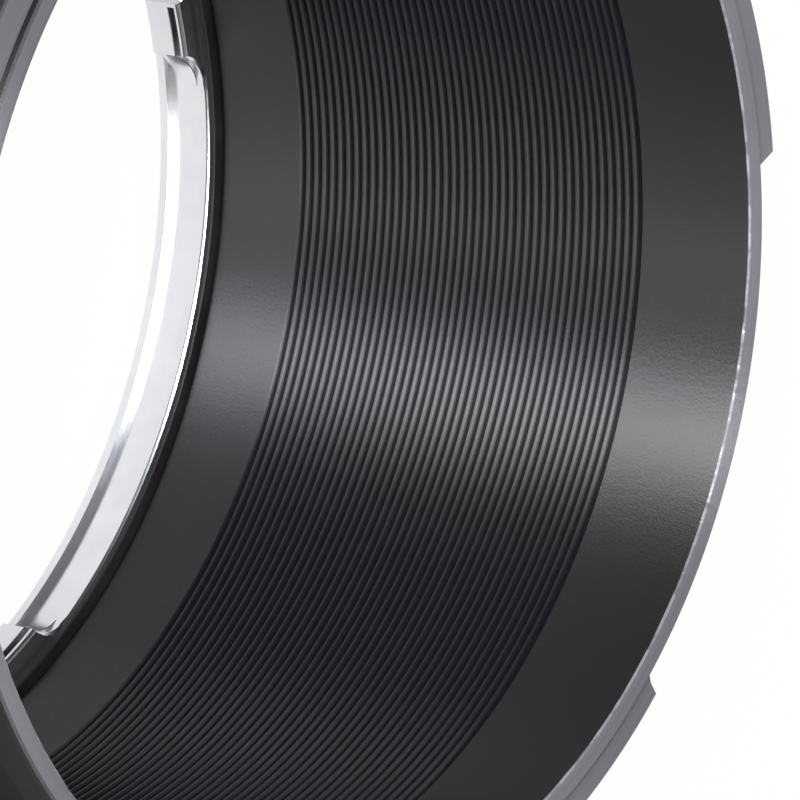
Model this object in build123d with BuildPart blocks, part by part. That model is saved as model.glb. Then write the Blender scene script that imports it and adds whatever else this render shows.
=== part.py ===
from build123d import *
import os
from math import acos, cos, degrees, radians, sin

# Lens mount adapter: a short tube that carries a bayonet lens on a shorter camera body.
# +Z is the optical axis and points to the camera. The adapter stands lens side down on the
# tip of its lock pin, and the bright ring's flat face is 0.9 mm higher.
# Depths are counted down from the camera-side rim; "level" turns them into heights.

# Main stations
camera_seat_depth = 5.2
seat_distance = 26.5
lens_seat_depth = camera_seat_depth + seat_distance
pin_reach = 0.9
overall_height = lens_seat_depth + pin_reach
# How far a cutting shape runs past the face that it opens
overcut = 0.5

# Camera-side bayonet: thin rim, three lugs behind it, neck and flange
bore_r = 24.5
rim_wall = 0.95
rim_r = bore_r + rim_wall
rim_bevel = 0.12
lug_front_depth = 0.37
lug_thick = 1.69
lug_rear_depth = lug_front_depth + lug_thick
lug_reach = 2.3
lug_r = bore_r + lug_reach
lug_count = 3
lug_full_angles = (201.3, 270.0)
lug_slant_angle = 1.4
lug_root_r = 1.6
lug_seat_wall = 0.75
lug_seat_r = bore_r + lug_seat_wall
neck_wall = 0.6
neck_r = bore_r + neck_wall
relief_wide = 2.2
relief_r = neck_r + relief_wide
relief_deep = 0.3
flange_thick = 1.55
flange_bevel = 0.3
flange_rear_depth = camera_seat_depth + flange_thick
flange_circle_in = 1.95
flange_circle_r = relief_r + flange_circle_in
lock_hole_r = 1.3
lock_hole_angle = 180.0
lock_hole_deep = 1.1

# Light trap sleeve: fine V grooves between two smooth bands, and a lead-out at its end
sleeve_wall = 1.2
sleeve_r = bore_r + sleeve_wall
sleeve_flange_wide = 1.8
sleeve_flange_r = sleeve_r + sleeve_flange_wide
sleeve_flange_thick = 1.0
sleeve_recess_gap = 0.1
sleeve_recess_r = sleeve_flange_r + sleeve_recess_gap
sleeve_recess_depth = flange_rear_depth - sleeve_flange_thick
sleeve_bevel = 0.15
lead_long = 0.7
lead_deep = 0.3

# Lens-side bayonet: bright ring with three claws, each end slit into a springy leaf
ring_thick = 2.58
ring_seat_depth = lens_seat_depth - ring_thick
ring_fit = 0.03
ring_bevel = 0.3
claw_high = 1.5
claw_r = bore_r - claw_high
claw_thick = 1.83
claw_end_depth = ring_seat_depth + claw_thick
claw_relief = 0.25
claw_count = 3
claw_angle = 52.9
claw_first_centre = 231.85
arc_step = 0.25
arc_r = bore_r - arc_step
arc_cutter_r = 2.0
lip_high = 0.48
arc_end_depth = lens_seat_depth - lip_high
lip_step = 0.35
lip_r = arc_r - lip_step
ring_wide = 5.65
ring_r = arc_r + ring_wide
edge_bevel = 0.15
pad_angle = 6.1
slit_angle = 5.6
slit_leaf = 0.28
slit_top_depth = ring_seat_depth + slit_leaf
slit_wide = 0.32
slit_corner = 0.8

# Barrel. Its inner ledge lies on the bright ring's upper face.
sleeve_gap = 0.05
barrel_bore_r = sleeve_r + sleeve_gap
ledge_over = 0.05
ledge_r = arc_r - ledge_over
ledge_thick = 0.27
ledge_depth = ring_seat_depth - ledge_thick
ring_wall = 1.57
barrel_lens_r = ring_r + ring_fit + ring_wall
barrel_taper = 0.9
barrel_r = barrel_lens_r + barrel_taper
barrel_shoulder = 1.0
barrel_bevel = 0.5
ring_proud = 0.3
barrel_end_depth = lens_seat_depth - ring_proud
flute_count = 48
flute_r = 1.5
flute_deep = 0.4
flange_inset = 1.1
flange_r = barrel_r - flange_inset

# The sleeve ends just above the ledge; its grooves fill the length that its bands leave
sleeve_end_gap = 0.05
sleeve_end_depth = ledge_depth - sleeve_end_gap
groove_count = 42
groove_deep = 0.3
groove_seam = 0.11
groove_first_depth = sleeve_recess_depth + groove_seam
far_band_long = 4.99
groove_last_depth = ring_seat_depth - far_band_long
groove_pitch = (groove_last_depth - groove_first_depth) / (groove_count - 1)

# Screws of both bayonets
screw_r = 1.0
screw_head_r = 1.6
screw_gap = 0.05
screw_sink = 0.05
screw_long = 4.6
screw_hole_spare = 0.2
cross_long = 1.9
cross_wide = 0.4
cross_deep = 0.45
camera_screw_angles = (45.0, 135.0, 225.0, 315.0)
lens_screw_inset = 2.3
lens_screw_circle_r = ring_r - lens_screw_inset
lens_screw_angles = (70.0, 160.0, 250.0, 340.0)

# Lock pin, its spring and the sliding knob that draws it back
pin_angle = 298.0
pin_inset = 1.7
pin_circle_r = ring_r - pin_inset
pin_gap = 0.05
pin_r = 1.0
pin_tip_round = 0.3
pin_hole_r = pin_r + pin_gap
pin_collar_r = 1.45
pin_collar_long = 6.32
pin_top_depth = ring_seat_depth - pin_collar_long
pin_bore_r = pin_collar_r + pin_gap
spring_room = 5.6
pin_bore_end_depth = pin_top_depth - spring_room
spring_mean_r = 1.2
spring_wire_r = 0.15
spring_turns = 5
travel = 1.2
knob_rise = 4.52
knob_depth = ring_seat_depth - knob_rise
knob_high = 6.4
knob_wide = 5.0
knob_corner = 0.8
knob_groove_wide = 0.4
knob_groove_deep = 0.35
knob_groove_places = (-2.65, -1.95, 1.95, 2.65)
pocket_deep = 2.2
pocket_floor_r = barrel_r - pocket_deep
pocket_room = 0.8
pocket_high = knob_high + travel + 2 * pocket_room
pocket_depth = knob_depth - travel / 2
pocket_side = 1.0
pocket_wide = knob_wide + 2 * pocket_side
pocket_corner = 1.0
knob_gap = 0.05
knob_floor_r = pocket_floor_r + knob_gap
knob_sink = 0.5
knob_face_r = barrel_r - knob_sink
slot_wide = 2.0
slot_spare = 0.2
knob_screw_r = 0.8
knob_screw_head_r = 1.4
knob_screw_head_high = 0.8
knob_screw_sink = 1.0
knob_screw_seat_r = knob_face_r - knob_screw_sink
knob_screw_past = 0.6
knob_screw_end_r = pin_circle_r - knob_screw_past
knob_screw_gap = 0.04
knob_cross_long = 1.5
knob_cross_wide = 0.35
knob_cross_deep = 0.4

# Grip band, taper and index beads, placed from the ends of the barrel
grip_inset = 4.45
grip_start_depth = flange_rear_depth + grip_inset
grip_margin = 0.8
grip_end_depth = pocket_depth - pocket_high / 2 - grip_margin
taper_start_depth = grip_end_depth + grip_margin
index_angle = 90.0
bead_gap = 0.03
bead_round = 0.2
bead_high = 0.8
camera_bead_r = 1.0
camera_bead_depth = (flange_rear_depth + barrel_shoulder + grip_start_depth) / 2
camera_bead_sink = 0.05
camera_bead_face_r = barrel_r - camera_bead_sink
camera_bead_floor_r = camera_bead_face_r - bead_high
lens_bead_r = 0.8
lens_bead_inset = 5.0
lens_bead_depth = barrel_end_depth - lens_bead_inset
lens_bead_sink = 0.45
lens_bead_face_r = barrel_r - lens_bead_sink
lens_bead_floor_r = lens_bead_face_r - bead_high

# Stop pin for the lens, on the back of a claw
stop_angle = -29.0
stop_circle_r = (claw_r + ledge_r) / 2
stop_r = 0.45
stop_bevel = 0.12
stop_gap = 0.02
stop_proud = 0.82
stop_sunk = 1.18
stop_top_depth = ring_seat_depth - stop_proud
stop_foot_depth = ring_seat_depth + stop_sunk


def level(depth):
    """Height of a plane that lies at this depth below the camera-side rim."""
    return overall_height - depth


def polar(radius, angle):
    """Plan point at this radius and angle."""
    return (radius * cos(radians(angle)), radius * sin(radians(angle)))


def half_section(*points):
    """Face in the XZ plane from (radius, depth) points, ready to be revolved."""
    with BuildSketch(Plane.XZ) as section:
        with BuildLine():
            Polyline(*[(radius, level(depth)) for radius, depth in points], close=True)
        make_face()
    return section.sketch


def sector(inner, outer, start, end):
    """Plan face between two radii and two angles."""
    with BuildSketch(Plane.XY) as plan:
        with BuildLine():
            CenterArc((0, 0), outer, start, end - start)
            Line(polar(outer, end), polar(inner, end))
            CenterArc((0, 0), inner, end, start - end)
            Line(polar(inner, start), polar(outer, start))
        make_face()
    return plan.sketch


def disc(radius):
    """Plan face of a full circle about the axis."""
    with BuildSketch(Plane.XY) as plan:
        Circle(radius)
    return plan.sketch


def slit_plan(tip, side, reach):
    """Plan face of a claw's slit: open past the claw's tip, rounded at its closed end."""
    closed = tip - side * slit_angle
    with BuildSketch(Plane.XY) as plan:
        add(sector(claw_r - overcut, arc_r, *sorted((closed, tip + side * reach))))
        fillet(vertices().sort_by_distance((*polar(arc_r, closed), 0))[0], radius=slit_corner)
    return plan.sketch


def slab(plan, top_depth, bottom_depth, mode=Mode.ADD):
    """Extrude a plan face between two depths."""
    extrude(Plane.XY.offset(level(bottom_depth)) * plan, amount=bottom_depth - top_depth, mode=mode)


def chord_angle(radius_a, radius_b, distance):
    """Angle at the axis between points at two radii that lie this distance apart."""
    return degrees(acos((radius_a ** 2 + radius_b ** 2 - distance ** 2) / (2 * radius_a * radius_b)))


def outward(radius, angle, depth):
    """Plane across a radial line: its local X is up and its normal points out."""
    return Plane(origin=(*polar(radius, angle), level(depth)), x_dir=(0, 0, 1),
                 z_dir=(*polar(1, angle), 0))


def upright(radius, angles, depth):
    """Places on a face that looks up, with local +Z out of the face."""
    return [Location((*polar(radius, angle), level(depth))) for angle in angles]


def hanging(radius, angles, depth):
    """Places on a face that looks down, with local +Z out of the face."""
    return [Location((*polar(radius, angle), level(depth)), (180, 0, 0)) for angle in angles]


os.makedirs("parts", exist_ok=True)

# Shared shapes: a countersunk screw and its hole, both pointing down from a face at z = 0
screw_head_high = screw_head_r - screw_r
with BuildPart() as countersunk_screw:
    with BuildSketch(Plane.XZ):
        with BuildLine():
            Polyline((0, 0), (screw_head_r, 0), (screw_r, -screw_head_high),
                     (screw_r, -screw_long), (0, -screw_long), close=True)
        make_face()
    revolve(axis=Axis.Z)
    with BuildSketch(Plane.XY):
        Rectangle(cross_long, cross_wide)
        Rectangle(cross_wide, cross_long)
    extrude(amount=-cross_deep, mode=Mode.SUBTRACT)

screw_hole_r = screw_r + screw_gap
screw_hole_top_r = screw_head_r + screw_gap + screw_sink
screw_hole_long = screw_long + screw_sink + screw_hole_spare
with BuildPart() as countersunk_hole:
    with BuildSketch(Plane.XZ):
        with BuildLine():
            Polyline((0, overcut), (screw_hole_top_r, overcut), (screw_hole_top_r, 0),
                     (screw_hole_r, screw_hole_r - screw_hole_top_r),
                     (screw_hole_r, -screw_hole_long), (0, -screw_hole_long), close=True)
        make_face()
    revolve(axis=Axis.Z)

# Camera-side bayonet. A lug keeps its full radius between two angles; past the first it
# slants down to the neck, past the second it runs out in a concave root.
root_angle = chord_angle(lug_seat_r + lug_root_r, lug_r, lug_root_r)
lug_start, lug_end = lug_full_angles
root_end = lug_end + root_angle
root_centre = Vector(*polar(lug_seat_r + lug_root_r, root_end))
to_crest = Vector(*polar(lug_r, lug_end)) - root_centre
to_seat = Vector(*polar(lug_seat_r, root_end)) - root_centre
root_middle = root_centre + (to_crest + to_seat).normalized() * lug_root_r
lug_inner_r = (bore_r + neck_r) / 2
with BuildSketch(Plane.XY) as lug_plan:
    with BuildLine():
        Polyline(polar(lug_inner_r, lug_start - lug_slant_angle),
                 polar(lug_seat_r, lug_start - lug_slant_angle), polar(lug_r, lug_start))
        CenterArc((0, 0), lug_r, lug_start, lug_end - lug_start)
        ThreePointArc(polar(lug_r, lug_end), (root_middle.X, root_middle.Y),
                      polar(lug_seat_r, root_end))
        Line(polar(lug_seat_r, root_end), polar(lug_inner_r, root_end))
        CenterArc((0, 0), lug_inner_r, root_end, lug_start - lug_slant_angle - root_end)
    make_face()

seam_deep = groove_deep * (1 - (groove_first_depth - sleeve_recess_depth) / (groove_pitch / 2))
groove_edge_depth = groove_first_depth - groove_pitch / 2
with BuildPart() as camera_bayonet:
    revolve(half_section(
        (bore_r + rim_bevel, 0), (bore_r, rim_bevel), (bore_r, groove_edge_depth),
        (bore_r + seam_deep, sleeve_recess_depth), (sleeve_recess_r, sleeve_recess_depth),
        (sleeve_recess_r, flange_rear_depth), (flange_r, flange_rear_depth),
        (flange_r, camera_seat_depth + flange_bevel), (flange_r - flange_bevel, camera_seat_depth),
        (relief_r, camera_seat_depth), (relief_r, camera_seat_depth + relief_deep),
        (neck_r, camera_seat_depth + relief_deep), (neck_r, lug_rear_depth),
        (lug_seat_r, lug_rear_depth), (lug_seat_r, lug_front_depth), (rim_r, lug_front_depth),
        (rim_r, rim_bevel), (rim_r - rim_bevel, 0),
    ), axis=Axis.Z)
    for number in range(lug_count):
        slab(Rot(0, 0, number * 360 / lug_count) * lug_plan.sketch, lug_front_depth, lug_rear_depth)
    with Locations(*upright(flange_circle_r, camera_screw_angles, camera_seat_depth)):
        add(countersunk_hole.part, mode=Mode.SUBTRACT)
    with Locations(*upright(flange_circle_r, (lock_hole_angle,), camera_seat_depth)):
        Cylinder(lock_hole_r, lock_hole_deep, align=(Align.CENTER, Align.CENTER, Align.MAX),
                 mode=Mode.SUBTRACT)

# Light trap sleeve. The joint with the bayonet in front of it hides in the first groove.
groove_points = [(bore_r + seam_deep, sleeve_recess_depth)]
for number in range(groove_count):
    root_depth = groove_first_depth + number * groove_pitch
    groove_points.append((bore_r + groove_deep, root_depth))
    groove_points.append((bore_r, root_depth + groove_pitch / 2))
with BuildPart() as baffle_sleeve:
    revolve(half_section(
        *groove_points, (bore_r, sleeve_end_depth - lead_long),
        (bore_r + lead_deep, sleeve_end_depth), (sleeve_r - sleeve_bevel, sleeve_end_depth),
        (sleeve_r, sleeve_end_depth - sleeve_bevel), (sleeve_r, flange_rear_depth),
        (sleeve_flange_r, flange_rear_depth), (sleeve_flange_r, sleeve_recess_depth),
    ), axis=Axis.Z)

# Barrel: rounded shoulder, fluted grip band, taper to the lens end, and the knob's pocket
with BuildSketch(Plane.XZ) as barrel_section:
    with BuildLine():
        Polyline((barrel_r - barrel_shoulder, level(flange_rear_depth)),
                 (barrel_bore_r, level(flange_rear_depth)),
                 (barrel_bore_r, level(ledge_depth)),
                 (ledge_r, level(ledge_depth)),
                 (ledge_r, level(ring_seat_depth)),
                 (ring_r + ring_fit, level(ring_seat_depth)),
                 (ring_r + ring_fit, level(barrel_end_depth)),
                 (barrel_lens_r - barrel_bevel, level(barrel_end_depth)),
                 (barrel_lens_r, level(barrel_end_depth - barrel_bevel)),
                 (barrel_r, level(taper_start_depth)),
                 (barrel_r, level(flange_rear_depth + barrel_shoulder)))
        RadiusArc((barrel_r, level(flange_rear_depth + barrel_shoulder)),
                  (barrel_r - barrel_shoulder, level(flange_rear_depth)), barrel_shoulder)
    make_face()

with BuildSketch(Plane.XY) as flute_plan:
    with PolarLocations(barrel_r + flute_r - flute_deep, flute_count):
        Circle(flute_r)

with BuildPart() as barrel:
    revolve(barrel_section.sketch, axis=Axis.Z)
    slab(flute_plan.sketch, grip_start_depth, grip_end_depth, Mode.SUBTRACT)
    with Locations(*upright(flange_circle_r, camera_screw_angles, camera_seat_depth)):
        Cylinder(screw_hole_r, screw_hole_long, align=(Align.CENTER, Align.CENTER, Align.MAX),
                 mode=Mode.SUBTRACT)
    with Locations(*hanging(lens_screw_circle_r, lens_screw_angles, lens_seat_depth)):
        Cylinder(screw_hole_r, screw_hole_long, align=(Align.CENTER, Align.CENTER, Align.MAX),
                 mode=Mode.SUBTRACT)
    with Locations(*upright(pin_circle_r, (pin_angle,), pin_bore_end_depth)):
        Cylinder(pin_bore_r, ring_seat_depth - pin_bore_end_depth,
                 align=(Align.CENTER, Align.CENTER, Align.MAX), mode=Mode.SUBTRACT)
    with BuildSketch(outward(pocket_floor_r, pin_angle, pocket_depth)):
        RectangleRounded(pocket_high, pocket_wide, pocket_corner)
    extrude(amount=pocket_deep + overcut, mode=Mode.SUBTRACT)
    with BuildSketch(outward(pin_circle_r, pin_angle, pocket_depth)):
        SlotOverall(travel + 2 * (knob_screw_r + slot_spare), slot_wide)
    extrude(amount=pocket_floor_r - pin_circle_r + overcut, mode=Mode.SUBTRACT)
    with BuildSketch(outward(camera_bead_floor_r, index_angle, camera_bead_depth)):
        Circle(camera_bead_r + bead_gap)
    extrude(amount=barrel_r - camera_bead_floor_r + overcut, mode=Mode.SUBTRACT)
    with BuildSketch(outward(lens_bead_floor_r, index_angle, lens_bead_depth)):
        Circle(lens_bead_r + bead_gap)
    extrude(amount=barrel_r - lens_bead_floor_r + overcut, mode=Mode.SUBTRACT)

# Lens-side bayonet. Round cutters open the arcs between the claws, so each claw's end
# runs out in the cutter's radius.
arc_centre_r = arc_r - arc_cutter_r
end_angle = chord_angle(arc_centre_r, claw_r, arc_cutter_r)
arc_spread = 360 / claw_count - claw_angle
with BuildSketch(Plane.XY) as throat_plan:
    Circle(claw_r)
    for number in range(claw_count):
        arc_start = claw_first_centre + claw_angle / 2 + end_angle + number * 360 / claw_count
        arc_stop = arc_start + arc_spread - 2 * end_angle
        add(sector(arc_centre_r - arc_cutter_r, arc_r, arc_start, arc_stop))
        with Locations(polar(arc_centre_r, arc_start), polar(arc_centre_r, arc_stop)):
            Circle(arc_cutter_r)

with BuildPart() as lens_bayonet:
    revolve(half_section(
        (0, ring_seat_depth), (ring_r - ring_bevel, ring_seat_depth),
        (ring_r, ring_seat_depth + ring_bevel), (ring_r, lens_seat_depth - ring_bevel),
        (ring_r - ring_bevel, lens_seat_depth), (0, lens_seat_depth),
    ), axis=Axis.Z)
    slab(throat_plan.sketch, ring_seat_depth, claw_end_depth, Mode.SUBTRACT)
    upper_face = faces().sort_by(Axis.Z)[-1]
    chamfer(upper_face.inner_wires()[0].edges(), length=edge_bevel)
    slab(disc(arc_r), claw_end_depth, arc_end_depth, Mode.SUBTRACT)
    slab(disc(lip_r), arc_end_depth, lens_seat_depth, Mode.SUBTRACT)
    for number in range(claw_count):
        centre = claw_first_centre + number * 360 / claw_count
        half_relief = claw_angle / 2 - pad_angle
        slab(sector(claw_r - overcut, claw_r + claw_relief, centre - half_relief,
                    centre + half_relief),
             ring_seat_depth, claw_end_depth, Mode.SUBTRACT)
        for side in (-1, 1):
            slab(slit_plan(centre + side * claw_angle / 2, side, end_angle),
                 slit_top_depth, slit_top_depth + slit_wide, Mode.SUBTRACT)
    with Locations(*hanging(lens_screw_circle_r, lens_screw_angles, lens_seat_depth)):
        add(countersunk_hole.part, mode=Mode.SUBTRACT)
    with Locations(*upright(pin_circle_r, (pin_angle,), ring_seat_depth)):
        Cylinder(pin_hole_r, lens_seat_depth - ring_seat_depth,
                 align=(Align.CENTER, Align.CENTER, Align.MAX), mode=Mode.SUBTRACT)
    with Locations(*upright(stop_circle_r, (stop_angle,), ring_seat_depth)):
        Cylinder(stop_r + stop_gap, stop_foot_depth - ring_seat_depth,
                 align=(Align.CENTER, Align.CENTER, Align.MAX), mode=Mode.SUBTRACT)

# Screws: each set is one group of like solids
with BuildPart() as camera_bayonet_screws:
    with Locations(*upright(flange_circle_r, camera_screw_angles,
                            camera_seat_depth + screw_sink)):
        add(countersunk_screw.part)

with BuildPart() as lens_bayonet_screws:
    with Locations(*hanging(lens_screw_circle_r, lens_screw_angles, lens_seat_depth - screw_sink)):
        add(countersunk_screw.part)

# Lock pin: collar in the barrel, tip through the bright ring
with BuildPart() as lock_pin:
    with Locations(*upright(pin_circle_r, (pin_angle,), ring_seat_depth)):
        Cylinder(pin_collar_r, ring_seat_depth - pin_top_depth,
                 align=(Align.CENTER, Align.CENTER, Align.MIN))
        Cylinder(pin_r, overall_height - ring_seat_depth,
                 align=(Align.CENTER, Align.CENTER, Align.MAX))
    fillet(faces().sort_by(Axis.Z)[0].edges(), radius=pin_tip_round)
    with BuildSketch(outward(knob_screw_end_r - knob_screw_gap, pin_angle, knob_depth)):
        Circle(knob_screw_r + knob_screw_gap)
    extrude(amount=pin_collar_r + overcut + pin_circle_r - knob_screw_end_r, mode=Mode.SUBTRACT)

# Spring: pushes the pin out, its upper end stays on the floor of the blind bore
coil_high = spring_room - 2 * spring_wire_r
with BuildPart() as lock_spring:
    with BuildLine():
        coil = Helix(coil_high / spring_turns, coil_high, spring_mean_r)
    with BuildSketch(Plane(origin=coil @ 0, z_dir=coil % 0)):
        Circle(spring_wire_r)
    sweep(path=coil, is_frenet=True)
lock_spring.part = (Location((*polar(pin_circle_r, pin_angle), level(pin_top_depth) + spring_wire_r))
                    * lock_spring.part)

# Knob in its pocket, and the screw that joins it to the pin through the slot
with BuildPart() as release_knob:
    with BuildSketch(outward(knob_floor_r, pin_angle, knob_depth)):
        RectangleRounded(knob_high, knob_wide, knob_corner)
    extrude(amount=knob_face_r - knob_floor_r)
    with BuildSketch(outward(knob_face_r, pin_angle, knob_depth)):
        for place in knob_groove_places:
            with Locations((place, 0)):
                Rectangle(knob_groove_wide, knob_wide + overcut)
    extrude(amount=-knob_groove_deep, mode=Mode.SUBTRACT)
    with BuildSketch(outward(knob_screw_seat_r, pin_angle, knob_depth)):
        Circle(knob_screw_head_r + knob_screw_gap)
    extrude(amount=knob_face_r - knob_screw_seat_r, mode=Mode.SUBTRACT)
    with BuildSketch(outward(knob_floor_r, pin_angle, knob_depth)):
        Circle(knob_screw_r + knob_screw_gap)
    extrude(amount=knob_screw_seat_r - knob_floor_r, mode=Mode.SUBTRACT)

with BuildPart() as release_screw:
    with BuildSketch(outward(knob_screw_end_r, pin_angle, knob_depth)):
        Circle(knob_screw_r)
    extrude(amount=knob_screw_seat_r - knob_screw_end_r)
    with BuildSketch(outward(knob_screw_seat_r, pin_angle, knob_depth)):
        Circle(knob_screw_head_r)
    extrude(amount=knob_screw_head_high)
    with BuildSketch(outward(knob_screw_seat_r + knob_screw_head_high, pin_angle, knob_depth)):
        Rectangle(knob_cross_long, knob_cross_wide)
        Rectangle(knob_cross_wide, knob_cross_long)
    extrude(amount=-knob_cross_deep, mode=Mode.SUBTRACT)

# Stop pin for the lens, standing on the back of a claw
with BuildPart() as lens_stop_pin:
    with Locations(*upright(stop_circle_r, (stop_angle,), stop_foot_depth)):
        Cylinder(stop_r, stop_foot_depth - stop_top_depth,
                 align=(Align.CENTER, Align.CENTER, Align.MIN))
    chamfer(faces().sort_by(Axis.Z)[-1].edges(), length=stop_bevel)

# Index beads, set in shallow holes in the barrel's side
with BuildPart() as camera_index_bead:
    with BuildSketch(outward(camera_bead_floor_r, index_angle, camera_bead_depth)):
        Circle(camera_bead_r)
    extrude(amount=camera_bead_face_r - camera_bead_floor_r)
    fillet(faces().sort_by(Axis.Y)[-1].edges(), radius=bead_round)

with BuildPart() as lens_index_bead:
    with BuildSketch(outward(lens_bead_floor_r, index_angle, lens_bead_depth)):
        Circle(lens_bead_r)
    extrude(amount=lens_bead_face_r - lens_bead_floor_r)
    fillet(faces().sort_by(Axis.Y)[-1].edges(), radius=bead_round)

pieces = {
    "camera_bayonet": camera_bayonet,
    "baffle_sleeve": baffle_sleeve,
    "barrel": barrel,
    "lens_bayonet": lens_bayonet,
    "camera_bayonet_screws": camera_bayonet_screws,
    "lens_bayonet_screws": lens_bayonet_screws,
    "lock_pin": lock_pin,
    "lock_spring": lock_spring,
    "release_knob": release_knob,
    "release_screw": release_screw,
    "lens_stop_pin": lens_stop_pin,
    "camera_index_bead": camera_index_bead,
    "lens_index_bead": lens_index_bead,
}
for label, piece in pieces.items():
    piece.part.label = label
    export_step(piece.part, f"parts/{label}.step")
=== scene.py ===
import math

import bmesh
import bpy
import numpy as np
from mathutils import Matrix, Vector


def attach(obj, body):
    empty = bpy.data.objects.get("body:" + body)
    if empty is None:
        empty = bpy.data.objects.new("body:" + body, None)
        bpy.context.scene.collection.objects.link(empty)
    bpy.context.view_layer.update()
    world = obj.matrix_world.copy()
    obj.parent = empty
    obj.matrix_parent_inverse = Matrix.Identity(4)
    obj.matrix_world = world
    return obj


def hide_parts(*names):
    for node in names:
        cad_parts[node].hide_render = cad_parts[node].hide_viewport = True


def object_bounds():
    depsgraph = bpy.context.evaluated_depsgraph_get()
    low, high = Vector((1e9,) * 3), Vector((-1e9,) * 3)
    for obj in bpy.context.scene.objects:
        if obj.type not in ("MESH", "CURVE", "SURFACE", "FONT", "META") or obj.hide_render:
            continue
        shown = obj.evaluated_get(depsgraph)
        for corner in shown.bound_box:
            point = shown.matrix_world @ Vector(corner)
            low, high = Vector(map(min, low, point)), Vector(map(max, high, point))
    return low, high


# Looks of a lens mount adapter. Lengths are millimetres until a mesh is written, and depths
# are counted down from the camera-side rim, as in the solids.
MM = 0.001
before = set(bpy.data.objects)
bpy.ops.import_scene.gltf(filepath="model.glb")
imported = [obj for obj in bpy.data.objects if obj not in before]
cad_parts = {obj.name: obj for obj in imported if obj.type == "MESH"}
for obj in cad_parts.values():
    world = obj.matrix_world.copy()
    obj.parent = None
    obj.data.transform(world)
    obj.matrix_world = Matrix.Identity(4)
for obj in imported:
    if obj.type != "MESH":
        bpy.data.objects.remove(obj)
cad_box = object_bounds()
rim_height = cad_box[1][2] / MM

# Sizes shared with the solids: camera-side bayonet
BORE_R = 24.5
RIM_R, RIM_BEVEL = 25.45, 0.1
LUG_R, LUG_TOP, LUG_FOOT = 26.8, 0.37, 2.06
LUG_SEAT_R = 25.25
LUG_START, LUG_END = 201.3, 270.0
LUG_SLANT = 1.4
LUG_ROOT_R = 1.6
NECK_R, NECK_FOOT = 25.1, 5.5
RELIEF_R = 27.3
FLANGE_R, FLANGE_BEVEL = 31.3, 0.3
CAMERA_SEAT, FLANGE_FOOT = 5.2, 6.75
SCREW_HOLE_R, SCREW_HEAD_R, SCREW_SINK = 1.05, 1.7, 0.65
FLANGE_CIRCLE_R, FLANGE_SCREWS = 29.25, (45, 135, 225, 315)
LOCK_HOLE_R, LOCK_HOLE_DEEP, LOCK_HOLE_ANGLE = 1.3, 1.1, 180
THIRDS = (0.0, 120.0, 240.0)

# Light trap sleeve
SLEEVE_TOP, SLEEVE_END = 5.75, 28.8
SLEEVE_R, SLEEVE_FLANGE_R, SLEEVE_RECESS_R = 25.7, 27.5, 27.6
SEAM_WIDE, SEAM_DEEP = 0.152, 0.113
GROOVES, GROOVE_FIRST, GROOVE_LAST, GROOVE_DEEP = 42, 5.86, 24.13, 0.3
GROOVE_PITCH = (GROOVE_LAST - GROOVE_FIRST) / (GROOVES - 1)
LEAD_LONG, LEAD_DEEP = 0.7, 0.3

# Barrel
BARREL_R, BARREL_BORE_R, BARREL_CORNER = 32.4, 25.75, 1.0
BARREL_FOOT, BARREL_FOOT_R = 31.4, 31.5
GRIP_TOP, GRIP_FOOT, TAPER_TOP = 11.2, 18.6, 19.4
LEDGE_R, LEDGE_TOP = 24.2, 28.85
FLUTES, FLUTE_R, FLUTE_DEEP = 48, 1.5, 0.4
PIN_ANGLE, PIN_CIRCLE_R, PIN_BORE_R, PIN_HOLE_R = 298.0, 28.2, 1.5, 1.05
PIN_BORE_FOOT, PIN_BORE_LONG = 29.7, 12.5
POCKET_FLOOR_R, POCKET_DEPTH = 30.2, 24.0
BEAD_ANGLE = 90

# Bright ring
RING_SEAT, LENS_SEAT = 29.12, 31.7
RING_R, RING_POCKET_R, RING_BEVEL = 29.9, 29.93, 0.3
CLAW_R, ARC_R, LIP_R = 23.0, 24.25, 23.9
CLAW_ANGLE, CLAW_CENTRE = 52.9, 231.85
CLAW_RELIEF, CLAW_FOOT, LIP_TOP = 0.25, 30.95, 31.22
CUTTER_R = 2.0
PAD_ANGLE, SLIT_ANGLE = 6.1, 5.6
SLIT_TOP, SLIT_FOOT, SLIT_CORNER = 29.4, 29.72, 0.8
LENS_CIRCLE_R, LENS_SCREWS = 27.6, (70, 160, 250, 340)
STOP_PIN_R, STOP_PIN_ANGLE, STOP_PIN_TOP = 23.6, -29, 30.3


def chord_angle(radius_a, radius_b, distance):
    """Angle at the axis between points at two radii that lie this distance apart."""
    cosine = (radius_a ** 2 + radius_b ** 2 - distance ** 2) / (2 * radius_a * radius_b)
    return math.degrees(math.acos(cosine))


def smooth_by_angle(obj, degrees):
    for polygon in obj.data.polygons:
        polygon.use_smooth = True
    obj.data.set_sharp_from_angle(angle=math.radians(degrees))


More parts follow.
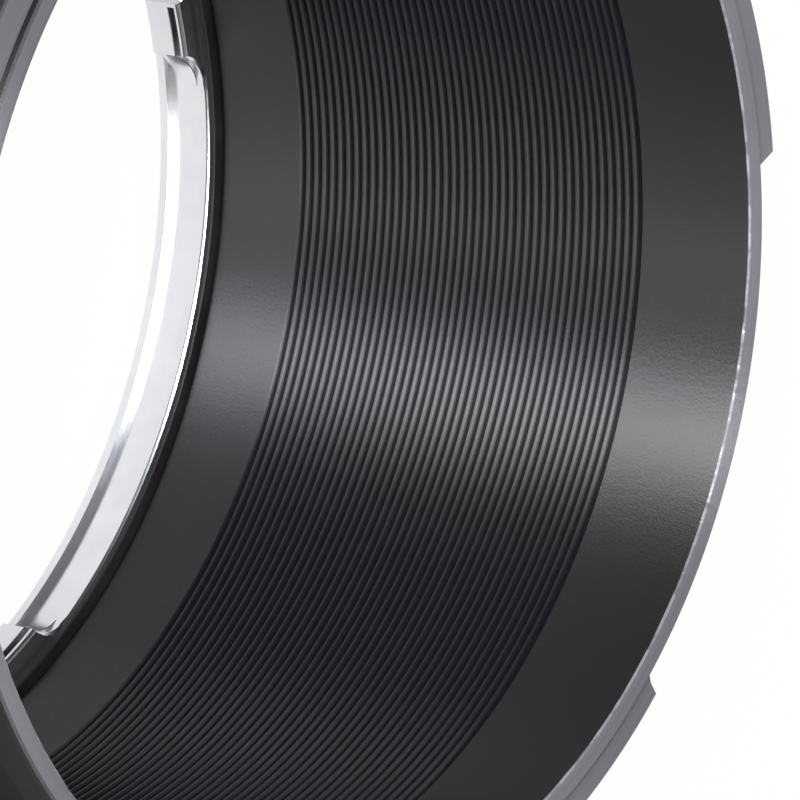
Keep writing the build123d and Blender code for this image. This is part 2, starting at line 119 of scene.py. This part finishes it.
def spun(name, angles, section, sharp=28.0):
    """Closed ring whose cross section, a list of (radius, depth), may change with the angle."""
    rows = np.array([section(angle) for angle in angles])
    turn = np.radians(np.array(angles))[:, None]
    points = np.stack([rows[:, :, 0] * np.cos(turn), rows[:, :, 0] * np.sin(turn),
                       rim_height - rows[:, :, 1]], axis=-1)
    count, corners = rows.shape[:2]
    mesh = bpy.data.meshes.new(name)
    faces = []
    for i in range(count):
        after = (i + 1) % count
        for j in range(corners):
            k = (j + 1) % corners
            faces.append((i * corners + j, after * corners + j, after * corners + k,
                          i * corners + k))
    mesh.from_pydata((points.reshape(-1, 3) * MM).tolist(), [], faces)
    shape = bmesh.new()
    shape.from_mesh(mesh)
    bmesh.ops.remove_doubles(shape, verts=shape.verts, dist=2e-7)
    bmesh.ops.dissolve_degenerate(shape, edges=shape.edges, dist=1e-7)
    bmesh.ops.recalc_face_normals(shape, faces=shape.faces)
    shape.to_mesh(mesh)
    shape.free()
    obj = bpy.data.objects.new(name, mesh)
    bpy.context.scene.collection.objects.link(obj)
    smooth_by_angle(obj, sharp)
    return obj


def spread(count, extra=()):
    """Even angles round the circle, with extra ones put in where a form needs them."""
    even = [360.0 * i / count for i in range(count)]
    near = [a % 360.0 for a in extra]
    kept = [a for a in even if all(abs((a - b + 180) % 360 - 180) > 0.02 for b in near)]
    return sorted(kept + near)


def lathe_solid(name, profile, centre, axis, steps=48):
    """Closed solid turned about an axis; profile holds (radius, distance along the axis)."""
    mesh = bpy.data.meshes.new(name)
    shape = bmesh.new()
    rings = []
    for radius, along in profile:
        rings.append([shape.verts.new((radius * math.cos(2 * math.pi * i / steps) * MM,
                                       radius * math.sin(2 * math.pi * i / steps) * MM,
                                       along * MM)) for i in range(steps)])
    for low, high in zip(rings, rings[1:]):
        for i in range(steps):
            after = (i + 1) % steps
            shape.faces.new((low[i], low[after], high[after], high[i]))
    shape.faces.new(list(reversed(rings[0])))
    shape.faces.new(rings[-1])
    bmesh.ops.recalc_face_normals(shape, faces=shape.faces)
    shape.to_mesh(mesh)
    shape.free()
    obj = bpy.data.objects.new(name, mesh)
    bpy.context.scene.collection.objects.link(obj)
    turn = Vector((0, 0, 1)).rotation_difference(Vector(axis)).to_matrix().to_4x4()
    mesh.transform(Matrix.Translation(Vector(centre) * MM) @ turn)
    return obj


def rounded_block(name, size, corner, centre, angle, steps=8):
    """Closed block with rounded upright edges; its depth runs out along the radius."""
    high, wide, deep = size
    outline = []
    for cx, cy, start in ((1, 1, 0), (-1, 1, 90), (-1, -1, 180), (1, -1, 270)):
        for i in range(steps + 1):
            bend = math.radians(start + 90 * i / steps)
            outline.append((cx * (high / 2 - corner) + corner * math.cos(bend),
                            cy * (wide / 2 - corner) + corner * math.sin(bend)))
    mesh = bpy.data.meshes.new(name)
    shape = bmesh.new()
    low = [shape.verts.new((0, y * MM, x * MM)) for x, y in outline]
    high_ring = [shape.verts.new((deep * MM, y * MM, x * MM)) for x, y in outline]
    for i in range(len(outline)):
        after = (i + 1) % len(outline)
        shape.faces.new((low[i], low[after], high_ring[after], high_ring[i]))
    shape.faces.new(list(reversed(low)))
    shape.faces.new(high_ring)
    bmesh.ops.recalc_face_normals(shape, faces=shape.faces)
    shape.to_mesh(mesh)
    shape.free()
    obj = bpy.data.objects.new(name, mesh)
    bpy.context.scene.collection.objects.link(obj)
    radius, depth = centre
    place = Matrix.Rotation(math.radians(angle), 4, "Z") @ Matrix.Translation(
        (radius * MM, 0, (rim_height - depth) * MM))
    mesh.transform(place)
    return obj


def cut(obj, cutters, sharp=28.0):
    """Cut the shapes out of obj, then delete them."""
    for cutter in cutters:
        modifier = obj.modifiers.new(cutter.name, "BOOLEAN")
        modifier.operation = "DIFFERENCE"
        modifier.solver = "EXACT"
        modifier.object = cutter
    bpy.context.view_layer.update()
    graph = bpy.context.evaluated_depsgraph_get()
    result = bpy.data.meshes.new_from_object(obj.evaluated_get(graph))
    obj.modifiers.clear()
    obj.data = result
    for cutter in cutters:
        bpy.data.objects.remove(cutter)
    smooth_by_angle(obj, sharp)


def at(radius, angle, depth):
    turn = math.radians(angle)
    return (radius * math.cos(turn), radius * math.sin(turn), rim_height - depth)


def countersinks(radius, angles, face_depth, up):
    """Cutters for countersunk screw holes that open up or down."""
    side = 1 if up else -1
    past = 0.6  # the cone runs on through the face, so no edge of the cutter lies in its plane
    profile = [(SCREW_HOLE_R, -3.2), (SCREW_HOLE_R, -SCREW_SINK), (SCREW_HEAD_R + past, past)]
    return [lathe_solid(f"countersink_{i}", profile, at(radius, angle, face_depth), (0, 0, side))
            for i, angle in enumerate(angles)]


# Camera-side bayonet
ROOT_CENTRE_R = LUG_SEAT_R + LUG_ROOT_R
ROOT_ANGLE = chord_angle(ROOT_CENTRE_R, LUG_R, LUG_ROOT_R)
LUG_EDGE = 0.09
RIM_WALL_R, RIM_WALL_FOOT = BORE_R + 0.04, 0.3
NICKS, NICK_HALF_ANGLE = 46, 0.22
rng = np.random.default_rng(7)
nick_angles = rng.uniform(0, 360, NICKS)
nick_sizes = rng.uniform(0.02, 0.11, NICKS)


def lug_outline(angle):
    """Radius of the lugs' outline at this angle."""
    for third in THIRDS:
        place = (angle - LUG_START - third + 180) % 360 - 180
        span = LUG_END - LUG_START
        if -LUG_SLANT <= place <= 0:
            return LUG_SEAT_R + (LUG_R - LUG_SEAT_R) * (1 + place / LUG_SLANT)
        if 0 <= place <= span:
            return LUG_R
        if span < place < span + ROOT_ANGLE:
            turn = math.radians(span + ROOT_ANGLE - place)
            reach = max(LUG_ROOT_R ** 2 - (ROOT_CENTRE_R * math.sin(turn)) ** 2, 0.0)
            return ROOT_CENTRE_R * math.cos(turn) - math.sqrt(reach)
    return LUG_SEAT_R


def worn_bevel(angle):
    """Width of the worn edge inside the rim, a little uneven and nicked."""
    turn = math.radians(angle)
    width = 0.12 + 0.015 * math.sin(5 * turn + 1) + 0.01 * math.sin(13 * turn)
    for nick, size in zip(nick_angles, nick_sizes):
        off = (angle - nick + 180) % 360 - 180
        width += size * math.exp(-(off / NICK_HALF_ANGLE) ** 2)
    return width


def bayonet_section(angle):
    lug = lug_outline(angle)
    edge = LUG_EDGE * min((lug - LUG_SEAT_R) / 0.2, 1.0)
    worn = worn_bevel(angle)
    fine = 0.08
    inside = [(RIM_WALL_R + worn, 0), (RIM_WALL_R + worn * 0.5, worn * 0.12),
              (RIM_WALL_R, 0.02 + worn * 0.35), (BORE_R, RIM_WALL_FOOT),
              (BORE_R, SLEEVE_TOP - SEAM_DEEP), (BORE_R + SEAM_WIDE, SLEEVE_TOP)]
    flange = [(SLEEVE_RECESS_R, SLEEVE_TOP), (SLEEVE_RECESS_R, FLANGE_FOOT),
              (FLANGE_R - fine, FLANGE_FOOT), (FLANGE_R, FLANGE_FOOT - fine),
              (FLANGE_R, CAMERA_SEAT + FLANGE_BEVEL), (FLANGE_R - FLANGE_BEVEL, CAMERA_SEAT),
              (RELIEF_R + 0.06, CAMERA_SEAT), (RELIEF_R, CAMERA_SEAT + 0.06),
              (RELIEF_R, NECK_FOOT)]
    outside = [(NECK_R, NECK_FOOT), (NECK_R, LUG_FOOT), (lug - edge, LUG_FOOT),
               (lug, LUG_FOOT - edge), (lug, LUG_TOP + edge), (lug - edge, LUG_TOP),
               (RIM_R, LUG_TOP), (RIM_R, RIM_BEVEL), (RIM_R - RIM_BEVEL, 0)]
    return inside + flange + outside


lug_steps = []
for third in THIRDS:
    lug_steps += [LUG_START + third - LUG_SLANT, LUG_START + third - LUG_SLANT / 2,
                  LUG_START + third, LUG_END + third]
    lug_steps += [LUG_END + third + ROOT_ANGLE * i / 12 for i in range(1, 13)]
camera_bayonet = spun("camera_bayonet_fine", spread(1440, lug_steps), bayonet_section)
lock_hole = lathe_solid("lock_hole", [(LOCK_HOLE_R, -LOCK_HOLE_DEEP), (LOCK_HOLE_R, 0.5)],
                        at(FLANGE_CIRCLE_R, LOCK_HOLE_ANGLE, CAMERA_SEAT), (0, 0, 1))
cut(camera_bayonet,
    countersinks(FLANGE_CIRCLE_R, FLANGE_SCREWS, CAMERA_SEAT, True) + [lock_hole])


# Light trap sleeve
def sleeve_section(angle):
    points = [(BORE_R + SEAM_WIDE, SLEEVE_TOP)]
    for number in range(GROOVES):
        root = GROOVE_FIRST + number * GROOVE_PITCH
        points.append((BORE_R + GROOVE_DEEP, root))
        for share, dip in ((0.36, 0.015), (0.42, 0.0), (0.58, 0.0), (0.64, 0.015)):
            points.append((BORE_R + dip, root + GROOVE_PITCH * share))
    points.pop()
    for i in range(9):
        bend = math.radians(90 * i / 8)
        points.append((BORE_R + LEAD_DEEP * (1 - math.cos(bend)),
                       SLEEVE_END - LEAD_LONG + LEAD_LONG * math.sin(bend)))
    bevel = 0.15
    points += [(SLEEVE_R - bevel, SLEEVE_END), (SLEEVE_R, SLEEVE_END - bevel),
               (SLEEVE_R, FLANGE_FOOT), (SLEEVE_FLANGE_R, FLANGE_FOOT),
               (SLEEVE_FLANGE_R, SLEEVE_TOP)]
    return points


sleeve = spun("baffle_sleeve_fine", spread(480), sleeve_section)

# Barrel
FLUTE_CENTRE_R = BARREL_R + FLUTE_R - FLUTE_DEEP
FLUTE_HALF = chord_angle(FLUTE_CENTRE_R, BARREL_R, FLUTE_R)


def fluted_radius(angle):
    off = (angle + 180 / FLUTES) % (360 / FLUTES) - 180 / FLUTES
    reach = FLUTE_R ** 2 - (FLUTE_CENTRE_R * math.sin(math.radians(off))) ** 2
    if abs(off) > FLUTE_HALF or reach < 0:
        return BARREL_R
    return min(FLUTE_CENTRE_R * math.cos(math.radians(off)) - math.sqrt(reach), BARREL_R)


def barrel_section(angle):
    flute = fluted_radius(angle)
    points = [(BARREL_BORE_R, LEDGE_TOP), (BARREL_BORE_R, FLANGE_FOOT)]
    for i in range(9):
        bend = math.radians(90 * i / 8)
        points.append((BARREL_R - BARREL_CORNER * (1 - math.sin(bend)),
                       FLANGE_FOOT + BARREL_CORNER * (1 - math.cos(bend))))
    points += [(BARREL_R, GRIP_TOP), (flute, GRIP_TOP), (flute, GRIP_FOOT),
               (BARREL_R, GRIP_FOOT), (BARREL_R, TAPER_TOP)]
    points += [(BARREL_FOOT_R - inward, BARREL_FOOT - rise)
               for inward, rise in ((0.0, 0.5), (0.15, 0.15), (0.5, 0.0))]
    points += [(RING_POCKET_R + 0.1, BARREL_FOOT), (RING_POCKET_R, BARREL_FOOT - 0.1),
               (RING_POCKET_R, RING_SEAT), (LEDGE_R, RING_SEAT),
               (LEDGE_R, LEDGE_TOP + 0.05), (LEDGE_R + 0.05, LEDGE_TOP)]
    return points


flute_steps = [360 / FLUTES * n + FLUTE_HALF * i / 5 for n in range(FLUTES) for i in range(-5, 6)]
barrel = spun("barrel_fine", spread(480, flute_steps), barrel_section)
cut(barrel, [
    rounded_block("pocket", (9.2, 7.0, 4.0), 1.0, (POCKET_FLOOR_R, POCKET_DEPTH), PIN_ANGLE),
    rounded_block("slot", (3.2, 2.0, 3.0), 0.99, (PIN_CIRCLE_R, POCKET_DEPTH), PIN_ANGLE),
    lathe_solid("pin_bore", [(PIN_BORE_R, 0), (PIN_BORE_R, PIN_BORE_LONG)],
                at(PIN_CIRCLE_R, PIN_ANGLE, PIN_BORE_FOOT), (0, 0, 1)),
    lathe_solid("camera_bead_hole", [(1.03, 0), (1.03, 2)], at(31.55, BEAD_ANGLE, 9.475),
                (0, 1, 0)),
    lathe_solid("lens_bead_hole", [(0.83, 0), (0.83, 2)], at(31.15, BEAD_ANGLE, 26.4),
                (0, 1, 0)),
])

# Lens-side bayonet
ARC_CENTRE_R = ARC_R - CUTTER_R
TIP_ANGLE = chord_angle(ARC_CENTRE_R, CLAW_R, CUTTER_R)
CLAW_EDGE, ARC_EDGE = 0.15, 0.25


def claw_place(angle):
    """Angle from the middle of the nearest claw."""
    return (angle - CLAW_CENTRE + 60) % 120 - 60


def throat_radius(angle):
    off = abs(claw_place(angle))
    tip = CLAW_ANGLE / 2
    if off <= tip - PAD_ANGLE:
        return CLAW_R + CLAW_RELIEF
    if off <= tip:
        return CLAW_R
    if off < tip + TIP_ANGLE:
        turn = math.radians(tip + TIP_ANGLE - off)
        reach = CUTTER_R ** 2 - (ARC_CENTRE_R * math.sin(turn)) ** 2
        return ARC_CENTRE_R * math.cos(turn) + math.sqrt(max(reach, 0.0))
    return ARC_R


def slit_radius(angle):
    """How far out the slit is cut at this angle."""
    inner = throat_radius(angle)
    off = abs(claw_place(angle))
    past_end = math.radians(off - (CLAW_ANGLE / 2 - SLIT_ANGLE)) * ARC_R
    if past_end <= 0 or off > CLAW_ANGLE / 2 + TIP_ANGLE:
        return inner
    if past_end >= SLIT_CORNER:
        return max(ARC_R, inner)
    rise = math.sqrt(SLIT_CORNER ** 2 - (SLIT_CORNER - past_end) ** 2)
    return max(ARC_R - SLIT_CORNER + rise, inner)


def ring_section(angle):
    inner = throat_radius(angle)
    slit = slit_radius(angle)
    fine, lead = 0.03, 0.08
    open_share = min(max((inner - CLAW_R - 0.3) / 0.9, 0.0), 1.0)
    edge = CLAW_EDGE + (ARC_EDGE - CLAW_EDGE) * open_share
    claw = [(inner + edge, RING_SEAT), (inner + 0.15 * edge, RING_SEAT + 0.7 * edge),
            (inner, RING_SEAT + edge), (inner, SLIT_TOP - fine),
            (min(inner + fine, slit), SLIT_TOP), (slit, SLIT_TOP), (slit, SLIT_FOOT),
            (min(inner + fine, slit), SLIT_FOOT), (inner, SLIT_FOOT + fine),
            (inner, CLAW_FOOT - fine), (inner + fine, CLAW_FOOT)]
    lip = [(ARC_R, CLAW_FOOT), (ARC_R, LIP_TOP), (LIP_R, LIP_TOP), (LIP_R, LENS_SEAT - lead),
           (LIP_R + lead, LENS_SEAT)]
    outside = [(RING_R - RING_BEVEL, LENS_SEAT), (RING_R - 0.18, LENS_SEAT - lead),
               (RING_R, LENS_SEAT - RING_BEVEL), (RING_R, RING_SEAT + RING_BEVEL),
               (RING_R - RING_BEVEL, RING_SEAT)]
    return claw + lip + outside


claw_steps = []
for third in THIRDS:
    middle = CLAW_CENTRE + third
    for side in (-1, 1):
        tip = CLAW_ANGLE / 2
        pad = tip - PAD_ANGLE
        closed = tip - SLIT_ANGLE
        claw_steps += [middle + side * (pad - 0.01), middle + side * (pad + 0.04)]
        claw_steps += [middle + side * (closed + 1.9 * (i / 10) ** 2) for i in range(11)]
        claw_steps += [middle + side * (tip + TIP_ANGLE * (i / 24) ** 2) for i in range(25)]
ring = spun("lens_bayonet_fine", spread(900, claw_steps), ring_section)
cut(ring, countersinks(LENS_CIRCLE_R, LENS_SCREWS, LENS_SEAT, False) + [
    lathe_solid("pin_hole", [(PIN_HOLE_R, -4), (PIN_HOLE_R, 4)],
                at(PIN_CIRCLE_R, PIN_ANGLE, LENS_SEAT), (0, 0, 1)),
    lathe_solid("stop_hole", [(0.47, 0), (0.47, 3)],
                at(STOP_PIN_R, STOP_PIN_ANGLE, STOP_PIN_TOP), (0, 0, 1)),
])

for piece, node in ((camera_bayonet, "camera_bayonet"), (sleeve, "baffle_sleeve"),
                    (barrel, "barrel"), (ring, "lens_bayonet")):
    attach(piece, "adapter")
    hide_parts(node)


# Materials
class Finish:
    """One procedural material; the methods add nodes and return sockets."""

    def __init__(self, name, colour, roughness, metallic=0.0):
        self.material = bpy.data.materials.new(name)
        self.material.use_nodes = True
        self.nodes = self.material.node_tree.nodes
        self.links = self.material.node_tree.links
        self.shader = self.nodes["Principled BSDF"]
        self.shader.inputs["Base Color"].default_value = (*colour, 1)
        self.shader.inputs["Roughness"].default_value = roughness
        self.shader.inputs["Metallic"].default_value = metallic
        place = self.nodes.new("ShaderNodeTexCoord").outputs["Object"]
        scaled = self.nodes.new("ShaderNodeVectorMath")
        scaled.operation = "SCALE"
        scaled.inputs["Scale"].default_value = 1 / MM
        self.links.new(place, scaled.inputs[0])
        self.place = scaled.outputs[0]
        split = self.nodes.new("ShaderNodeSeparateXYZ")
        self.links.new(self.place, split.inputs[0])
        self.x, self.y, self.z = split.outputs
        flat = self.nodes.new("ShaderNodeCombineXYZ")
        self.links.new(self.x, flat.inputs[0])
        self.links.new(self.y, flat.inputs[1])
        length = self.nodes.new("ShaderNodeVectorMath")
        length.operation = "LENGTH"
        self.links.new(flat.outputs[0], length.inputs[0])
        self.radius = length.outputs["Value"]
        self.angle = self.math("ARCTAN2", self.y, self.x)

    def math(self, operation, *values):
        node = self.nodes.new("ShaderNodeMath")
        node.operation = operation
        for socket, value in zip(node.inputs, values):
            if isinstance(value, (int, float)):
                socket.default_value = value
            else:
                self.links.new(value, socket)
        return node.outputs[0]

    def noise(self, vector, scale, detail=3.0, rough=0.55):
        node = self.nodes.new("ShaderNodeTexNoise")
        node.inputs["Scale"].default_value = scale
        node.inputs["Detail"].default_value = detail
        node.inputs["Roughness"].default_value = rough
        self.links.new(vector, node.inputs["Vector"])
        return node.outputs["Fac"]

    def grain(self, scale, detail=3.0):
        return self.noise(self.place, scale, detail)

    def turning(self, fine, along=1.2):
        """Lines that run round the axis: they change quickly across it and slowly along it."""
        across = self.math("MULTIPLY", self.math("ADD", self.z, self.radius), fine)
        vector = self.nodes.new("ShaderNodeCombineXYZ")
        self.links.new(across, vector.inputs[0])
        self.links.new(self.math("MULTIPLY", self.math("COSINE", self.angle), along),
                       vector.inputs[1])
        self.links.new(self.math("MULTIPLY", self.math("SINE", self.angle), along),
                       vector.inputs[2])
        return self.noise(vector.outputs[0], 1.0, 2.0)

    def remap(self, value, low, high, to_low, to_high):
        node = self.nodes.new("ShaderNodeMapRange")
        node.inputs["From Min"].default_value = low
        node.inputs["From Max"].default_value = high
        node.inputs["To Min"].default_value = to_low
        node.inputs["To Max"].default_value = to_high
        self.links.new(value, node.inputs["Value"])
        return node.outputs["Result"]

    def mix(self, factor, colour_a, colour_b):
        node = self.nodes.new("ShaderNodeMix")
        node.data_type = "RGBA"
        self.links.new(factor, node.inputs["Factor"])
        for socket, colour in ((node.inputs["A"], colour_a), (node.inputs["B"], colour_b)):
            if isinstance(colour, tuple):
                socket.default_value = (*colour, 1)
            else:
                self.links.new(colour, socket)
        return node.outputs["Result"]

    def bump(self, height, distance, strength=1.0, under=None):
        node = self.nodes.new("ShaderNodeBump")
        node.inputs["Distance"].default_value = distance * MM
        node.inputs["Strength"].default_value = strength
        self.links.new(height, node.inputs["Height"])
        if under is not None:
            self.links.new(under, node.inputs["Normal"])
        return node.outputs["Normal"]

    def turned(self, anisotropy, specular):
        """Brushed look of a surface turned on a lathe: gloss spreads along the axis."""
        tangent = self.nodes.new("ShaderNodeTangent")
        tangent.direction_type = "RADIAL"
        tangent.axis = "Z"
        self.links.new(tangent.outputs[0], self.shader.inputs["Tangent"])
        self.shader.inputs["Anisotropic"].default_value = anisotropy
        self.shader.inputs["Anisotropic Rotation"].default_value = 0.25
        self.shader.inputs["Specular IOR Level"].default_value = specular

    def set(self, name, value):
        self.links.new(value, self.shader.inputs[name])


def black_bayonet():
    finish = Finish("black_anodised_bayonet", (0.03, 0.03, 0.033), 0.5)
    finish.turned(1.0, 1.0)
    grain = finish.grain(9.0)
    lines = finish.turning(14.0)
    # The end faces of the rim and lugs are greyer than the rest, and the edge inside the rim is
    # worn to bare metal in patches.
    geometry = finish.nodes.new("ShaderNodeNewGeometry")
    tilt = finish.nodes.new("ShaderNodeSeparateXYZ")
    finish.links.new(geometry.outputs["Normal"], tilt.inputs[0])
    level = finish.remap(tilt.outputs[2], 0.6, 0.9, 0, 1)
    on_rim = finish.math("MULTIPLY", level,
                         finish.remap(finish.z, rim_height - 0.6, rim_height - 0.5, 0, 1))
    ragged = finish.math("MULTIPLY", finish.grain(2.2, 4.0), 0.12)
    worn_reach = finish.math("SUBTRACT", finish.radius, ragged)
    inner = finish.remap(worn_reach, RIM_WALL_R, RIM_WALL_R + 0.03, 1, 0)
    high = finish.remap(finish.z, rim_height - 0.1, rim_height - 0.07, 0, 1)
    patchy = finish.remap(finish.grain(1.1, 4.0), 0.4, 0.62, 0.15, 1.0)
    worn = finish.math("MULTIPLY", finish.math("MULTIPLY", inner, high), patchy)
    face = finish.mix(finish.remap(lines, 0.3, 0.7, 0, 1), (0.13, 0.127, 0.14),
                      (0.155, 0.152, 0.165))
    body = finish.mix(finish.remap(grain, 0.35, 0.65, 0, 1), (0.006, 0.006, 0.007),
                      (0.011, 0.011, 0.012))
    colour = finish.mix(on_rim, body, face)
    finish.set("Base Color", finish.mix(worn, colour, (0.42, 0.43, 0.46)))
    finish.set("Metallic", finish.math("MULTIPLY", worn, 0.5))
    finish.set("Roughness", finish.remap(grain, 0.3, 0.7, 0.38, 0.54))
    normal = finish.bump(lines, 0.003)
    finish.set("Normal", finish.bump(grain, 0.005, under=normal))
    return finish.material


def black_bore():
    finish = Finish("black_anodised_bore", (0.02, 0.02, 0.023), 0.5)
    finish.turned(1.0, 1.0)
    grain = finish.grain(9.0)
    lines = finish.turning(20.0)
    finish.set("Base Color", finish.mix(finish.remap(grain, 0.35, 0.65, 0, 1),
                                        (0.006, 0.006, 0.008), (0.011, 0.011, 0.014)))
    # Painted shade in the grooves: their roots get far less gloss than the ridges, so they stay
    # dark while the ridges shine.
    finish.set("Specular IOR Level",
               finish.remap(finish.radius, BORE_R + 0.03, BORE_R + 0.13, 1.0, 0.12))
    finish.set("Roughness", finish.remap(grain, 0.3, 0.7, 0.38, 0.53))
    normal = finish.bump(lines, 0.002)
    finish.set("Normal", finish.bump(grain, 0.004, under=normal))
    return finish.material


def black_barrel():
    finish = Finish("black_anodised_barrel", (0.02, 0.02, 0.022), 0.42)
    finish.shader.inputs["Specular IOR Level"].default_value = 0.3
    grain = finish.grain(7.0)
    handled = finish.grain(0.25, 4.0)
    finish.set("Base Color", finish.mix(finish.remap(handled, 0.4, 0.65, 0, 1),
                                        (0.014, 0.014, 0.016), (0.026, 0.026, 0.028)))
    finish.set("Roughness", finish.remap(grain, 0.3, 0.7, 0.36, 0.5))
    finish.set("Normal", finish.bump(grain, 0.008))
    return finish.material


def bright_ring():
    finish = Finish("bright_chromed_ring", (0.8, 0.8, 0.82), 0.22, metallic=1.0)
    lines = finish.turning(16.0)
    smears = finish.grain(0.55, 3.0)
    finish.set("Base Color", finish.mix(finish.remap(smears, 0.35, 0.7, 0, 1),
                                        (0.93, 0.93, 0.95), (0.87, 0.88, 0.91)))
    finish.set("Roughness", finish.remap(smears, 0.3, 0.7, 0.19, 0.25))
    finish.set("Normal", finish.bump(lines, 0.0025))
    return finish.material


def steel(name, colour, roughness, metallic=1.0):
    finish = Finish(name, colour, roughness, metallic)
    grain = finish.grain(5.0)
    finish.set("Roughness", finish.remap(grain, 0.3, 0.7, roughness - 0.06, roughness + 0.08))
    finish.set("Normal", finish.bump(grain, 0.004))
    return finish.material


def enamel():
    finish = Finish("index_enamel", (0.6, 0.02, 0.015), 0.25)
    finish.shader.inputs["Coat Weight"].default_value = 0.5
    finish.set("Roughness", finish.remap(finish.grain(2.0), 0.3, 0.7, 0.2, 0.34))
    finish.set("Normal", finish.bump(finish.grain(3.0), 0.004))
    return finish.material


def paint(obj, material):
    obj.data.materials.clear()
    obj.data.materials.append(material)


barrel_finish = black_barrel()
black_steel = steel("black_screw_steel", (0.03, 0.03, 0.033), 0.34, 0.6)
bright_steel = steel("bright_screw_steel", (0.66, 0.66, 0.68), 0.26)
paint(camera_bayonet, black_bayonet())
paint(sleeve, black_bore())
paint(barrel, barrel_finish)
paint(ring, bright_ring())
paint(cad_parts["release_knob"], barrel_finish)
red = enamel()
for node in ("camera_index_bead", "lens_index_bead"):
    paint(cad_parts[node], red)
for node in ("camera_bayonet_screws", "release_screw"):
    paint(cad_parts[node], black_steel)
for node in ("lens_bayonet_screws", "lock_pin", "lens_stop_pin"):
    paint(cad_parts[node], bright_steel)
paint(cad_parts["lock_spring"], steel("spring_steel", (0.5, 0.5, 0.52), 0.3))


# Floor, background, lamps and camera
def white_to_the_eye(tree, ground_shader, white_shader, output, direct, in_gloss):
    """Show a share of plain white to the camera directly, and another in gloss or glass."""
    rays = tree.nodes.new("ShaderNodeLightPath")
    share = None
    for name, part in (("Is Camera Ray", direct), ("Is Glossy Ray", in_gloss),
                       ("Is Transmission Ray", in_gloss)):
        scaled = tree.nodes.new("ShaderNodeMath")
        scaled.operation = "MULTIPLY"
        scaled.inputs[1].default_value = part
        tree.links.new(rays.outputs[name], scaled.inputs[0])
        if share is not None:
            larger = tree.nodes.new("ShaderNodeMath")
            larger.operation = "MAXIMUM"
            tree.links.new(share, larger.inputs[0])
            tree.links.new(scaled.outputs[0], larger.inputs[1])
            scaled = larger
        share = scaled.outputs[0]
    mixed = tree.nodes.new("ShaderNodeMixShader")
    tree.links.new(share, mixed.inputs[0])
    tree.links.new(ground_shader.outputs[0], mixed.inputs[1])
    tree.links.new(white_shader.outputs[0], mixed.inputs[2])
    tree.links.new(mixed.outputs[0], tree.nodes[output].inputs["Surface"])


floor_mesh = bpy.data.meshes.new("floor")
half = 3.0
floor_mesh.from_pydata([(-half, -half, 0), (half, -half, 0), (half, half, 0), (-half, half, 0)],
                       [], [(0, 1, 2, 3)])
floor = bpy.data.objects.new("floor", floor_mesh)
bpy.context.scene.collection.objects.link(floor)
floor_paint = bpy.data.materials.new("floor")
floor_paint.use_nodes = True
tree = floor_paint.node_tree
pale = tree.nodes["Principled BSDF"]
pale.inputs["Base Color"].default_value = (0.85, 0.85, 0.86, 1)
pale.inputs["Roughness"].default_value = 0.9
glow = tree.nodes.new("ShaderNodeEmission")
white_to_the_eye(tree, pale, glow, "Material Output", direct=0.98, in_gloss=0.6)
floor.data.materials.append(floor_paint)

world = bpy.data.worlds.new("studio")
bpy.context.scene.world = world
world.use_nodes = True
tree = world.node_tree
ambient = tree.nodes["Background"]
ambient.inputs["Color"].default_value = (1, 1, 1, 1)
ambient.inputs["Strength"].default_value = 0.12
backdrop = tree.nodes.new("ShaderNodeBackground")
white_to_the_eye(tree, ambient, backdrop, "World Output", direct=1.0, in_gloss=0.04)


LAMP_AIM, LAMP_DISTANCE, LAMP_SIZE = Vector((0, 0, 0.016)), 0.6, 0.16


def lamp(name, azimuth, elevation, watts, colour):
    """Round soft lamp that shines on the part from this azimuth and elevation in degrees."""
    flat, steep = math.radians(azimuth), math.radians(elevation)
    light = bpy.data.lights.new(name, "AREA")
    light.shape = "DISK"
    light.size = LAMP_SIZE
    light.energy = watts
    light.color = colour
    obj = bpy.data.objects.new(name, light)
    outward = Vector((math.cos(steep) * math.cos(flat), math.cos(steep) * math.sin(flat),
                      math.sin(steep)))
    obj.location = LAMP_AIM + LAMP_DISTANCE * outward
    obj.rotation_euler = (-outward).to_track_quat("-Z", "Y").to_euler()
    bpy.context.scene.collection.objects.link(obj)


lamp("near_band", -17, 20, 1.1, (1.0, 0.88, 0.74))
lamp("far_band", -10, 36, 4.0, (0.9, 0.94, 1.0))
lamp("upper_wall", 20, 45, 0.7, (1.0, 0.98, 0.95))
lamp("high_front", 65, 72, 0.7, (1.0, 0.97, 0.95))
lamp("lower_wall", -110, 50, 0.3, (0.95, 0.97, 1.0))
lamp("high_far", 130, 60, 0.5, (1.0, 1.0, 1.0))

# The camera's place and turn were fitted to the rim, lugs and ring in the photo.
camera = bpy.data.objects.new("camera", bpy.data.cameras.new("camera"))
bpy.context.scene.collection.objects.link(camera)
camera.data.lens = 540.0
camera.data.sensor_width = 36.0
camera.data.clip_start = 0.02
camera.data.clip_end = 20.0
camera_place = (0.37511, 0.00309, (rim_height + 299.3) * MM)
camera_right = Vector((-0.61255574, -0.16564576, 0.77287576))
camera_up = Vector((0.10288863, -0.98618532, -0.12981697))
camera_back = Vector((0.78370236, 0.0, 0.62113655))
turn = Matrix((camera_right, camera_up, camera_back)).transposed().to_4x4()
camera.matrix_world = Matrix.Translation(camera_place) @ turn
bpy.context.scene.camera = camera

bpy.context.scene.view_settings.view_transform = "Standard"
